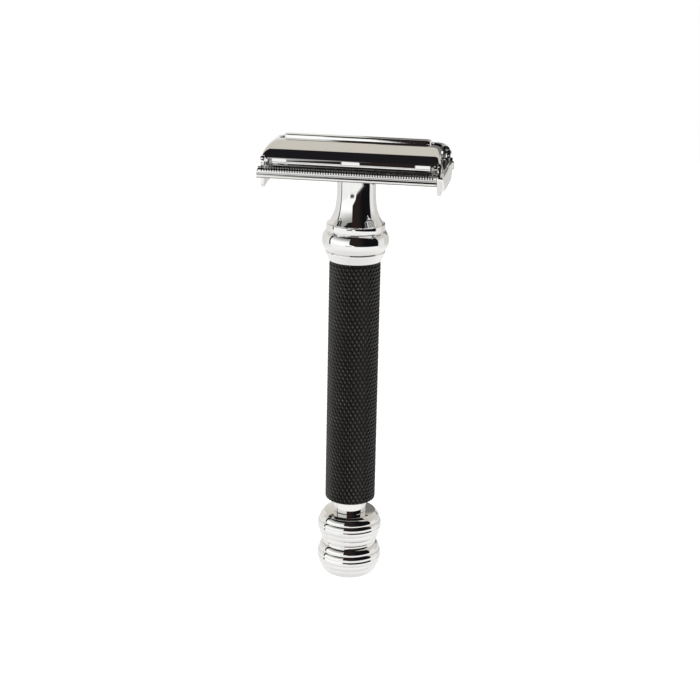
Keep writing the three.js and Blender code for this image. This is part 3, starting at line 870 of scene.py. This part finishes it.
def end_plate(side, name):
    """A cheek with lugs and low tips, and a rounded pad on its outside. Its rear edge is cut back beside the
    end of the toothed bar. The left plate is the right one turned half round."""
    low, high = in_mm("right_end_plate")
    foot = low.z
    lug = arc(HINGE_Y, HINGE_Z, 0.66, 0, 180, 16)
    tip = [(5.6, foot + 1.2), (7.8, foot + 0.9), (9.3, foot + 0.5), (9.95, foot + 1), (10.7, foot + 2.1)]
    tip = rounded(tip, [0, 0.6, 0.25, 0.4, 0], 5, closed=False)
    flank = spline([(10.7, foot + 2.1), (11.4, 102.6), (11.8, 103.7), (11.5, 104.5), (10.4, 105)], 5)
    crown = [(8.8, 105.1), (8.2, 104.5), (7.2, 104.5), (7, 105.5), (6.1, 105.5), (6, 104.85), (0, 104.85)]
    crown = rounded(crown, [0, 0.2, 0.1, 0.1, 0.1, 0.1, 0], 3, closed=False)
    cheek = plate_x("cheek", mirrored([(0, foot + 1.3)] + tip + flank[1:] + lug + crown), low.x, 21.1)
    bore = [(0, 20), (PIN_BORE, 20), (PIN_BORE, 22.5), (0, 22.5)]
    bores = [pin_x("bore", bore, way * HINGE_Y, HINGE_Z) for way in (-1, 1)]
    cut(cheek, bores + [block(20, 22.5, BAR_INNER - 0.1, 13, 98, 105)])
    soften(cheek, 0.14, 3, 40)
    pad_foot, pad_top = foot + 0.8, 104.1
    brow = [(6, foot + 0.85), (7.6, 100.4), (8.9, 101.4), (9.7, 102.6), (9.9, 103.6), (9.4, pad_top)]
    outline = mirrored([(0, pad_foot)] + spline(brow, 5) + [(0, pad_top)])
    middle = (pad_foot + pad_top) / 2
    sections, places = [outline], [20.9]
    for k in range(9):
        turn = math.radians(90 * k / 8)
        inset = 1 - math.cos(turn)
        wide, tall = 1 - 0.16 * inset, 1 - 0.4 * inset
        sections.append([(y * wide, middle + (z - middle) * tall) for y, z in outline])
        places.append(high.x - PAD_DOME * (1 - math.sin(turn)))
    pad = loft_x("pad", sections, places)
    shade(pad, 40)
    obj = merge([cheek, pad])
    if side < 0:
        obj.data.transform(Matrix.Rotation(math.pi, 4, "Z"))
    finish_piece(obj, f"end_cheek_{name}", "handle", [f"{name}_end_plate"], "chrome")


def hinge_pins():
    for side, hand in ((-1, "left"), (1, "right")):
        for way, face in ((-1, "front"), (1, "rear")):
            node = f"{face}_hinge_pin_{hand}"
            low, high = in_mm(node)
            inner, outer = (low.x, high.x) if side > 0 else (-high.x, -low.x)
            under = outer - 0.15
            shank = [(0, inner), (0.32, inner), (0.38, inner + 0.06), (0.38, under)]
            head = [(0.47, under), (0.5, under + 0.03), (0.49, outer - 0.07), (0.42, outer - 0.02),
                    (0.25, outer), (0, outer)]
            obj = pin_x("pin", shank + head, way * HINGE_Y, HINGE_Z)
            if side < 0:
                mirror(obj, 0)
            shade(obj, 40)
            finish_piece(obj, f"{face}_rivet_{hand}", "handle", [node], "steel")


# ---- doors ----

DOOR = {"edge": 1.45, "cy": 0.9, "cz": 105.7, "a": 9.6, "b": 4.1, "wall": 0.8}
DOOR_END = {"low": 20.95, "top": 19.7, "z0": 107.0, "z1": 109.8}
LIP_HALF = 20.2           # the lip stops short of the hinge lugs, and the door above it reaches over them
LIP_ROOT = 9.6
LUG_TOP = 107.0
NOTCH = {"length": 4.4, "spacing": 17.2, "top": 106.45}
DRIVE_Y, DRIVE_Z = 8.051, 104.90


def door_end(z):
    """Half length of a door at a height."""
    t = min(max((z - DOOR_END["z0"]) / (DOOR_END["z1"] - DOOR_END["z0"]), 0), 1)
    t = t * t * (1.6 - 0.6 * t)
    return DOOR_END["low"] + (DOOR_END["top"] - DOOR_END["low"]) * t


def door_points(drop):
    """The door's section on the +Y side. drop lowers the outer face, as it does at the rounded ends."""
    cy, cz, a, b, wall = (DOOR[k] for k in ("cy", "cz", "a", "b", "wall"))
    start = math.asin((DOOR["edge"] - cy) / a)
    outer = []
    steps = 64
    for i in range(steps + 1):
        t = start + (math.pi / 2 - start) * i / steps
        y, z = cy + a * math.sin(t), cz + b * math.cos(t)
        normal = Vector((math.sin(t) / a, math.cos(t) / b)).normalized()
        outer.append((y - drop * normal.x, z - drop * normal.y))
    lip = [(10.47, 105.65), (10.38, 105.6), (10.2, 105.58), (9.75, 105.6)]
    rib = [(9.6, 105.45), (9.6, 105.16), (9.56, 105.12), (9.24, 105.12), (9.2, 105.16)]
    inner = []
    inner_end = math.asin((9.2 - cy) / (a - wall))
    inner_start = math.asin((DOOR["edge"] - cy) / (a - wall))
    for i in range(33):
        t = inner_end + (inner_start - inner_end) * i / 32
        inner.append((cy + (a - wall) * math.sin(t), cz + (b - wall) * math.cos(t)))
    return outer, lip + rib + inner


def door_shell():
    depths = [0.0, 0.04, 0.12, 0.24, 0.4, 0.56, 0.72, 0.86, 1.0]
    sections, places = [], []

    def station(x_of, drop_share):
        outer, rest = door_points(0.0)
        full = door_points(1.0)[0]
        loop, xs = [], []
        for i, ((y, z), (fy, fz)) in enumerate(zip(outer, full)):
            t = i / (len(outer) - 1)
            depth = 0.5 - 0.15 * t
            drop = depth * drop_share
            loop.append((y + (fy - y) * drop, z + (fz - z) * drop))
            xs.append(x_of(z, 1.8 - 1.1 * t))
        squeeze = 1 - 0.47 * drop_share / 0.95
        for y, z in rest:
            if y > LIP_ROOT:
                y = LIP_ROOT + (y - LIP_ROOT) * squeeze
            loop.append((y, z))
            xs.append(x_of(z, 0.8))
        sections.append(loop)
        places.append(xs)

    def at_end(side, d):
        share = 1 - math.sqrt(max(0.0, 1 - (1 - d) ** 2))
        station(lambda z, length: side * (door_end(z) - d * length), share)

    for d in depths:
        at_end(-1, d)
    inner = [-16, -15, -12, -8, -5, -2.2, 0, 2.2, 5, 8, 12, 15, 16]
    for x in inner:
        station(lambda z, length: x, 0.0)
    for d in reversed(depths):
        at_end(1, d)
    return loft_x("door", sections, places)


def door_ear(side):
    inner, outer = 19.5, 20.15
    web = rounded([(9.3, 105.5), (DRIVE_Y + 0.45, DRIVE_Z - 0.5), (DRIVE_Y - 0.6, DRIVE_Z + 0.35), (7, 107),
                   (7.6, 108.0), (9.6, 107.0)], 0.2, 4)
    ear = plate_x("ear", web, inner, outer)
    bosses = [plate_x("boss", arc(HINGE_Y, HINGE_Z, 0.8, 0, 348.75, 31), inner, outer),
              plate_x("boss", arc(DRIVE_Y, DRIVE_Z, 0.7, 0, 348.75, 31), inner, outer)]
    unite(ear, bosses)
    cut(ear, [plate_x("hole", arc(HINGE_Y, HINGE_Z, PIN_BORE, 0, 345, 23), inner - 1, outer + 1),
              plate_x("hole", arc(DRIVE_Y, DRIVE_Z, 0.38, 0, 345, 23), inner - 1, outer + 1)])
    soften(ear, 0.08, 2, 40)
    if side < 0:
        mirror(ear, 0)
    return ear


def lip_notch(place):
    """The tool for one notch in the lip."""
    x, half = place * NOTCH["spacing"], NOTCH["length"] / 2
    top = NOTCH["top"]
    corners = [(x - half, 104.5), (x + half, 104.5), (x + half, top), (x - half, top)]
    outline = rounded(corners, [0, 0, 0.3, 0.3], 5)
    return skin("notch", [[(px, y, pz) for px, pz in outline] for y in (9.72, 11.2)])


def door(way, face):
    shell = door_shell()
    for side in (-1, 1):
        cut(shell, [block(side * LIP_HALF, side * 22, 8.6, 11, 104, LUG_TOP)])
    for side in (-1, 1):
        cut(shell, [block(side * TRAY_HALF, side * 21, 9, 9.74, 105, 106.9)])
    for place in (-1, 0, 1):
        cut(shell, [lip_notch(place)])
    shade(shell, 34)
    obj = merge([shell, door_ear(1), door_ear(-1)])
    if way < 0:
        mirror(obj, 1)
    finish_piece(obj, f"{face}_door_shell", f"{face}_door", [f"{face}_door"], "chrome", DOOR_CHROME_WITH_PAINTED_SHADOW)


def drive_pins():
    for face in ("front", "rear"):
        for hand in ("left", "right"):
            node = f"{face}_drive_pin_{hand}"
            low, high = in_mm(node)
            profile = [(0, low.x), (0.3, low.x), (0.35, low.x + 0.05),
                       (0.35, high.x - 0.05), (0.3, high.x), (0, high.x)]
            obj = pin_x("pin", profile, (low.y + high.y) / 2, (low.z + high.z) / 2, 24)
            shade(obj, 40)
            finish_piece(obj, f"{face}_crank_pin_{hand}", f"{face}_door", [node], "steel")


# ---- lifter ----

CRANK = 2.022             # from a door's hinge line to its drive pins
YOKE_SLOT = 0.49          # half the height of the yoke's slots
STUD_BORE = 1.15
THREAD = {"lead": 1.6, "root": 1.75, "end": 34.6}


def spine_bar():
    low, high = in_mm("spine_bar")
    bottom = 106.0
    outline = stadium(high.x, high.y, 24)
    straight = high.x - high.y
    edge = 0.34
    levels = [(0.0, bottom), (0.0, high.z - edge)]
    for k in range(1, 7):
        a = math.radians(15 * k)
        levels.append((edge * (1 - math.cos(a)), high.z - edge + edge * math.sin(a)))
    rings = []
    for inset, z in levels:
        scale = (high.y - inset) / high.y
        ring = []
        for x, y in outline:
            centre = math.copysign(straight, x) if abs(x) > 1e-6 else 0
            ring.append((centre + (x - centre) * scale, y * scale, z))
        rings.append(ring)
    obj = skin("spine", rings)
    shade(obj, 40)
    legs = []
    for side in (-1, 1):
        leg = block(side * LEG_X - 1.6, side * LEG_X + 1.6, -0.8, 0.8, low.z, bottom + 0.5)
        soften(leg, 0.1, 2)
        legs.append(leg)
    obj = merge([obj] + legs)
    finish_piece(obj, "spine_between_doors", "lifter", ["spine_bar"], "chrome")


def lift_yoke():
    low, high = in_mm("lift_yoke")
    inner, outer = 18.7, high.x
    bar = block(-outer, outer, -2, 2, low.z, 100.75)
    cross = mirrored([(0, low.z), (2.5, low.z + 0.1), (9, 101.9), (8.95, high.z),
                      (6.3, high.z), (6.3, 102.2), (0, 102.2)])
    unite(bar, [plate_x("cross", cross, inner, outer), plate_x("cross", cross, -outer, -inner)])
    crank = HINGE_Y - CRANK
    cutters = [plate_z("hole", arc(0, 0, STUD_BORE, 0, 345, 23), 99, 102)]
    for way in (-1, 1):
        middle = way * (crank + DRIVE_Y) / 2
        half = (DRIVE_Y - crank) / 2 + YOKE_SLOT
        slot = [(y + middle, z + DRIVE_Z) for y, z in stadium(half, YOKE_SLOT, 10)]
        cutters.append(plate_x("slot", slot, -outer - 1, outer + 1))
    cut(bar, cutters)
    soften(bar, 0.07, 2)
    finish_piece(bar, "cross_yoke", "lifter", ["lift_yoke"], "steel")


def lift_rod():
    low, high = in_mm("lift_rod")
    root = THREAD["root"]
    profile = [(0, low.z), (1.7, low.z), (root, low.z + 0.1)]
    z = low.z + 0.1
    while z < THREAD["end"]:
        profile += [(root, z), (2.08, z + 0.62), (2.1, z + 0.72),
                    (2.1, z + 0.9), (2.08, z + 1.0), (root, z + 1.58)]
        z += THREAD["lead"]
    profile += [(1.6, z + 0.1), (1.6, 99.87), (1.52, 99.95), (1.1, 99.95),
                (1.1, high.z - 0.1), (1.0, high.z), (0, high.z)]
    obj = lathe("rod", profile, 40, closed=False)
    shade(obj, 25)
    finish_piece(obj, "threaded_lift_rod", "lifter", ["lift_rod"], "steel")


def yoke_nut():
    low, high = in_mm("yoke_nut")
    corners = arc(0, 0, 2.0, 0, 300, 5)
    obj = plate_z("nut", corners, low.z, high.z)
    cut(obj, [plate_z("hole", arc(0, 0, STUD_BORE, 0, 345, 23), low.z - 1, high.z + 1)])
    soften(obj, 0.08, 2)
    finish_piece(obj, "hexagon_nut", "lifter", ["yoke_nut"], "steel")


def inner_pieces():
    for node in ("guide_bush", "stem_bush", "drive_nut"):
        paint_node(node, "brass")
    for node in ("thrust_washer", "wave_spring", "retaining_ring"):
        paint_node(node, "steel")


# ---- studio ----

VIEW_TURN = math.radians(9.01)      # how far the camera stands to the right of the razor's front


def world():
    """White to the camera. Metal reflects light and dark panels in its place, set one by one and turned to
    face the way the camera looks, so the surround is not a plain one."""
    scene_world = bpy.data.worlds.new("studio")
    bpy.context.scene.world = scene_world
    scene_world.use_nodes = True
    tree = scene_world.node_tree
    tree.nodes.clear()
    n = Nodes(tree)
    direction = n.add("ShaderNodeTexCoord").outputs["Generated"]
    x, y, z = n.split(direction)
    s, c = math.sin(VIEW_TURN), math.cos(VIEW_TURN)
    right = n.math("ADD", n.math("MULTIPLY", x, c), n.math("MULTIPLY", y, s))
    front = n.math("SUBTRACT", n.math("MULTIPLY", x, s), n.math("MULTIPLY", y, c))
    around = n.math("MULTIPLY", n.math("ARCTAN2", right, front), 180 / math.pi)
    height = n.math("MULTIPLY", n.math("ARCSINE", z), 180 / math.pi)
    arch = n.math("MULTIPLY", n.math("ARCTAN2", z, n.math("MULTIPLY", front, -1.0)), 180 / math.pi)

    def band(value, low, high, soft):
        return use_group(n, BAND, Value=value, From=low, To=high, Soft=soft)["Mask"]

    # the far side of the room: light low down, warmer and darker higher up, with a dark screen on the right
    low_left = n.mix(n.ramp(height, -24.0, -10.0), (0.9, 0.89, 0.88, 1), (0.77, 0.76, 0.74, 1))
    low_right = n.mix(n.ramp(height, -24.0, -10.0), (0.88, 0.87, 0.86, 1), (0.65, 0.64, 0.62, 1))
    colour = n.mix(n.ramp(right, -0.02, 0.02), low_left, low_right)
    flanks = n.product(band(n.math("ABSOLUTE", around), 84.0, 116.0, 4.0), n.ramp(height, 20.0, 0.0))
    colour = n.mix(flanks, colour, (0.84, 0.83, 0.82, 1))
    colour = n.mix(n.ramp(height, 18.0, 25.0), colour, (0.62, 0.585, 0.52, 1))
    screen = n.product(band(height, 3.0, 24.5, 1.5), n.ramp(right, -0.006, 0.006),
                       n.ramp(around, 140.0, 150.0))
    colour = n.mix(screen, colour, (0.19, 0.185, 0.18, 1))
    # the dark ceiling, open to a warm light on the right
    eaves = n.ramp(right, -0.9, -0.6, 13.0, 28.0)
    ceiling = n.product(band(arch, 63.0, 136.0, 1.2), n.ramp(height, eaves, n.math("ADD", eaves, 5.0)),
                        n.fall(right, 0.2, 0.25))
    colour = n.mix(ceiling, colour, (0.012, 0.011, 0.013, 1))
    # the white panel on the left with its dark edge
    rim = n.product(band(around, -101.0, -10.0, 0.8), band(height, -12.5, 44.0, 0.8))
    colour = n.mix(rim, colour, (0.02, 0.02, 0.022, 1))
    grey = n.mix(n.ramp(height, 2.0, 40.0), (1.08, 1.08, 1.07, 1), (0.36, 0.36, 0.35, 1))
    right_edge = n.ramp(height, -9.5, 0.5, -2.0, -21.5)
    past_edge = n.math("ADD", right_edge, 1.6)
    panel = n.product(n.ramp(around, -95.0, -93.4), n.fall(around, right_edge, past_edge),
                      band(height, -16.0, 44.0, 0.8))
    colour = n.mix(panel, colour, grey)
    wedge = n.product(band(around, -36.0, -13.0, 4.0), band(height, -9.9, -7.4, 0.35))
    colour = n.mix(wedge, colour, (0.03, 0.028, 0.026, 1))
    # the black panel on the right, with slanting edges
    lower = n.math("MULTIPLY_ADD", around, -0.045, -10.0)
    upper = n.ramp(around, 45.0, 92.0, 76.0, 36.0)
    black = n.product(n.ramp(around, right_edge, past_edge), n.fall(around, 83.0, 87.0),
                      n.above(height, lower, 0.5), n.below(height, upper, 0.8))
    dark = n.mix(n.ramp(around, 5.0, 40.0), (0.022, 0.015, 0.014, 1), (0.006, 0.006, 0.007, 1))
    colour = n.mix(black, colour, dark)
    # the table below
    table = n.mix(n.ramp(height, -70.0, -20.0), (0.8, 0.79, 0.78, 1), (0.95, 0.945, 0.94, 1))
    near = n.product(n.ramp(front, -0.1, 0.1), n.below(height, lower, 0.5), n.math("SUBTRACT", 1.0, wedge))
    colour = n.mix(near, colour, table)
    colour = n.mix(n.fall(height, -32.0, -22.0), colour, table)

    pick = n.add("ShaderNodeMixShader")
    n.put(pick.inputs["Fac"], n.add("ShaderNodeLightPath").outputs["Is Camera Ray"])
    for slot, shown in ((1, colour), (2, (1, 1, 1, 1))):
        light = n.add("ShaderNodeBackground")
        n.put(light.inputs["Color"], shown)
        n.put(pick.inputs[slot], light.outputs[0])
    out = n.add("ShaderNodeOutputWorld")
    n.put(out.inputs["Surface"], pick.outputs[0])


def floor():
    """A wide pale disc, seen only from above. It is lifted to white where the camera sees it, and the metal
    reflects the world's table in its place."""
    reach, segments = 600, 96
    rim = arc(0, 0, reach, 0, 360 - 360 / segments, segments - 1)
    obj = make_object("floor", [(x, y, 0.0) for x, y in rim], [list(range(segments))])
    material, n, shader, place = new_material("pale floor")
    grain = n.noise(place, 260.0, 3.0)
    n.put(shader.inputs["Base Color"], n.mix(grain, (0.74, 0.74, 0.735, 1), (0.78, 0.78, 0.775, 1)))
    shader.inputs["Roughness"].default_value = 0.9
    shader.inputs["Specular IOR Level"].default_value = 0.1
    shader.inputs["Emission Color"].default_value = (1, 1, 1, 1)
    direct = n.add("ShaderNodeLightPath").outputs["Is Camera Ray"]
    n.put(shader.inputs["Emission Strength"], n.math("MULTIPLY_ADD", direct, 0.6, 0.2))
    clear = n.add("ShaderNodeMixShader")
    n.put(clear.inputs["Fac"], n.add("ShaderNodeNewGeometry").outputs["Backfacing"])
    n.put(clear.inputs[1], shader.outputs["BSDF"])
    n.put(clear.inputs[2], n.add("ShaderNodeBsdfTransparent").outputs[0])
    n.put(material.node_tree.get_output_node("ALL").inputs["Surface"], clear.outputs[0])
    if obj.data.polygons[0].normal.z < 0:
        obj.data.flip_normals()
    obj.data.materials.append(material)
    obj.visible_glossy = False


def soft_light():
    light = bpy.data.lights.new("soft box", "AREA")
    light.shape = "RECTANGLE"
    light.size, light.size_y = 0.5, 0.6
    light.energy = 3.0
    obj = bpy.data.objects.new("soft box", light)
    obj.location = (-0.45, -0.5, 0.5)
    obj.rotation_euler = (Vector((0, 0, 0.06)) - obj.location).to_track_quat("-Z", "Y").to_euler()
    obj.visible_glossy = False
    bpy.context.scene.collection.objects.link(obj)


SENSOR = 36.0
FOCAL_LENGTH = 87.42857


def camera():
    distance, height = 0.397, 0.1801
    pitch, side_turn, roll = (math.radians(a) for a in (17.08, 0.11, 1.21))
    across = Vector((math.cos(VIEW_TURN), math.sin(VIEW_TURN), 0))
    ahead = Vector((-math.sin(VIEW_TURN), math.cos(VIEW_TURN), 0))
    right = across * math.cos(side_turn) + ahead * math.sin(side_turn)
    level = ahead * math.cos(side_turn) - across * math.sin(side_turn)
    look = level * math.cos(pitch) + Vector((0, 0, -math.sin(pitch)))
    up = right.cross(look)
    rolled_right = right * math.cos(roll) + up * math.sin(roll)
    rolled_up = up * math.cos(roll) - right * math.sin(roll)
    lens = bpy.data.cameras.new("camera")
    lens.sensor_width = SENSOR
    lens.lens = FOCAL_LENGTH
    lens.clip_start = 0.01
    lens.clip_end = 10
    obj = bpy.data.objects.new("camera", lens)
    place = Matrix((rolled_right, rolled_up, -look)).transposed().to_4x4()
    place.translation = (distance * math.sin(VIEW_TURN), -distance * math.cos(VIEW_TURN), height)
    obj.matrix_world = place
    bpy.context.scene.collection.objects.link(obj)
    bpy.context.scene.camera = obj


handle_tube()
neck_collar()
knob()
knob_stem()
guard_plate()
blade()
end_plate(-1, "left")
end_plate(1, "right")
hinge_pins()
door(-1, "front")
door(1, "rear")
drive_pins()
spine_bar()
lift_yoke()
lift_rod()
yoke_nut()
inner_pieces()
world()
floor()
soft_light()
camera()
bpy.context.scene.view_settings.view_transform = "Standard"
bpy.context.scene.view_settings.look = "None"
